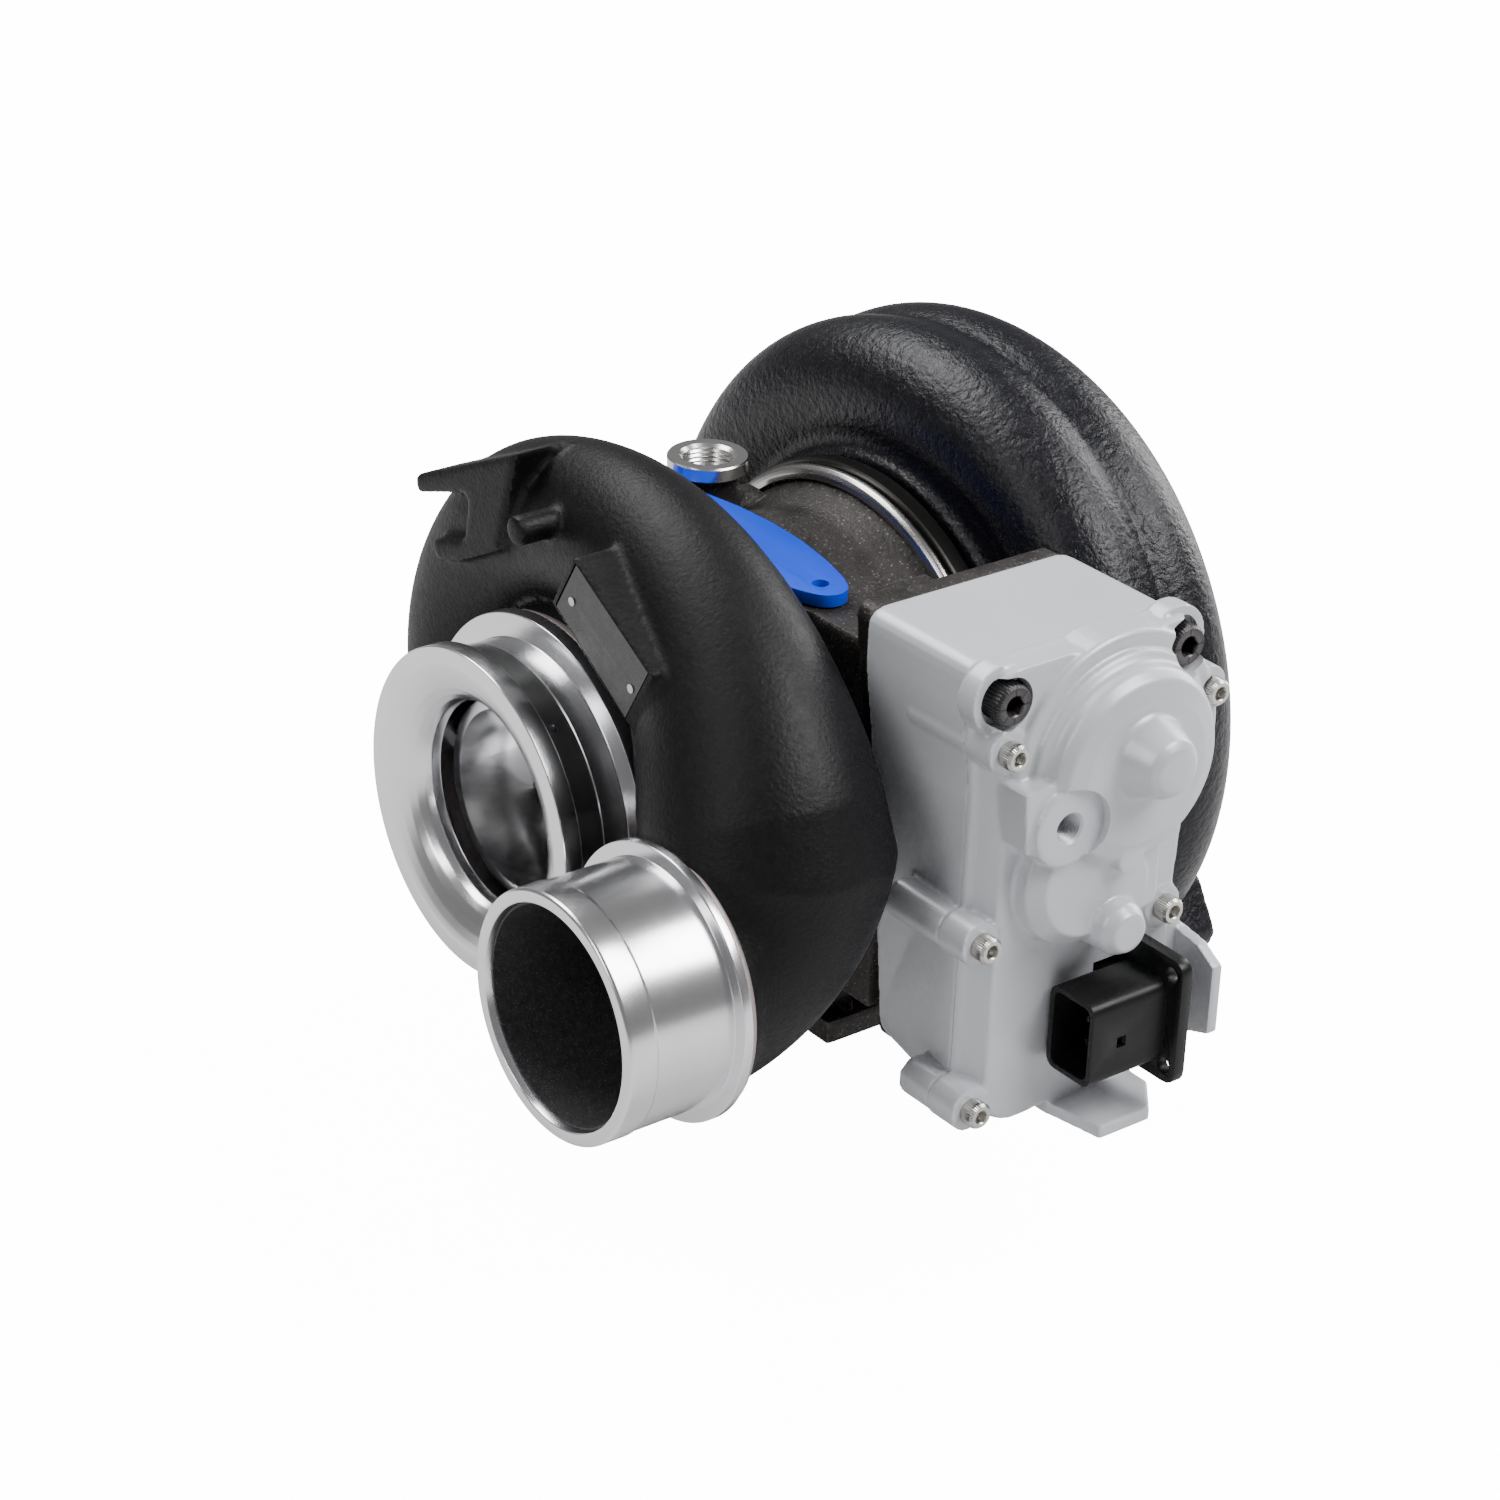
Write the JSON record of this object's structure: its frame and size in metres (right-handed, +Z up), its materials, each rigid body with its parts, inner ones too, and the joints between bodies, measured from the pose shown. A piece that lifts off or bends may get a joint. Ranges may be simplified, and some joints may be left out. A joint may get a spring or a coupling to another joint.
{
  "type": "turbocharger",
  "caption": "Exhaust turbocharger with black compressor scroll, twin-entry turbine scroll, sliding nozzle and an electric actuator.",
  "frame": {"origin": "centre of the air inlet's front face, on the shaft axis", "axes": "+X along the shaft from the compressor to the turbine, +Z up, the actuator on the -Y side"},
  "size_m": [0.279, 0.304, 0.2445],
  "materials": {
    "black_coated_casting": "satin black powder coat, fine grain",
    "machined_aluminium": "turned bright",
    "plate_black": "matte black",
    "wheel_aluminium": "milled",
    "bare_iron": "bare as-cast",
    "painted_iron": "gloss black paint on rough casting",
    "dark_steel": "heat resistant alloy",
    "steel": "machined",
    "bronze": "bearing bronze",
    "rubber_black": "matte",
    "blue_plastic": "satin",
    "zinc_steel": "zinc plated",
    "black_oxide": "black oxide",
    "grey_paint": "satin light grey",
    "black_plastic": "moulded",
    "motor_steel": "dark",
    "board_green": "solder mask"
  },
  "bodies": {
    "turbo_body": {"actuator_bolts": "black_oxide", "actuator_cover": "grey_paint", "actuator_housing": "grey_paint", "bearing_housing": "bare_iron", "bearing_spacer": "steel", "compressor_housing": "black_coated_casting", "connector": "black_plastic", "connector_pins": "bronze", "control_board": "board_green", "cover_o_ring": "rubber_black", "cover_screws": "zinc_steel", "cover_snap_ring": "steel", "far_shaft_bush": "bronze", "front_journal_bearing": "bronze", "heat_shield": "dark_steel", "intermediate_axle": "steel", "motor_end_plates": "steel", "motor_stator": "motor_steel", "name_plate": "plate_black", "name_plate_pins": "steel", "near_shaft_bush": "bronze", "oil_inlet_plug": "blue_plastic", "oil_seal_plate": "steel", "output_axle": "steel", "push_rod_bushes": "bronze", "rear_journal_bearing": "bronze", "recirculation_ring": "machined_aluminium", "shroud_plate": "dark_steel", "thrust_bearing": "bronze", "turbine_housing": "painted_iron", "turbine_seal_ring": "steel", "v_band_bolt": "zinc_steel", "v_band_clamp": "steel", "v_band_nut": "zinc_steel"},
    "rotor": {"rotor_shaft": "steel", "turbine_wheel": "dark_steel", "compressor_wheel": "wheel_aluminium", "shaft_nut": "steel", "thrust_collar": "steel"},
    "nozzle": {"nozzle_ring": "dark_steel", "nozzle_push_rods": "steel"},
    "nozzle_lever": {"cross_shaft": "steel", "nozzle_yoke": "steel", "sector_gear": "steel"},
    "reduction_output": {"output_gear": "steel"},
    "reduction_middle": {"intermediate_gear": "steel"},
    "motor_armature": {"motor_rotor": "steel", "motor_pinion": "steel"}
  },
  "joints": [
    {"name": "rotor_spin", "type": "hinge", "parent": "turbo_body", "child": "rotor", "pos_m": [0.1, 0, 0], "axis": [1, 0, 0], "continuous": true},
    {"name": "lever_turn", "type": "hinge", "parent": "turbo_body", "child": "nozzle_lever", "pos_m": [0.112, 0, -0.034], "axis": [0, 1, 0], "range_deg": [-9, 9]},
    {"name": "nozzle_slide", "type": "slide", "parent": "turbo_body", "child": "nozzle", "axis": [1, 0, 0], "range_m": [-0.0055, 0.0055]},
    {"name": "output_turn", "type": "hinge", "parent": "turbo_body", "child": "reduction_output", "pos_m": [0.112, 0, 0.006], "axis": [0, 1, 0], "range_deg": [-22, 22]},
    {"name": "middle_turn", "type": "hinge", "parent": "turbo_body", "child": "reduction_middle", "pos_m": [0.128, 0, 0.0265], "axis": [0, 1, 0], "range_deg": [-72, 72]},
    {"name": "motor_turn", "type": "hinge", "parent": "turbo_body", "child": "motor_armature", "pos_m": [0.128, 0, 0.0481], "axis": [0, 1, 0], "range_deg": [-205, 205]}
  ],
  "couplings": [
    {"joint": "nozzle_slide", "follows": "lever_turn", "m_per_rad": 0.0312},
    {"joint": "output_turn", "follows": "lever_turn", "ratio": -2.3333},
    {"joint": "middle_turn", "follows": "lever_turn", "ratio": 7.7778},
    {"joint": "motor_turn", "follows": "lever_turn", "ratio": -22.222}
  ]
}
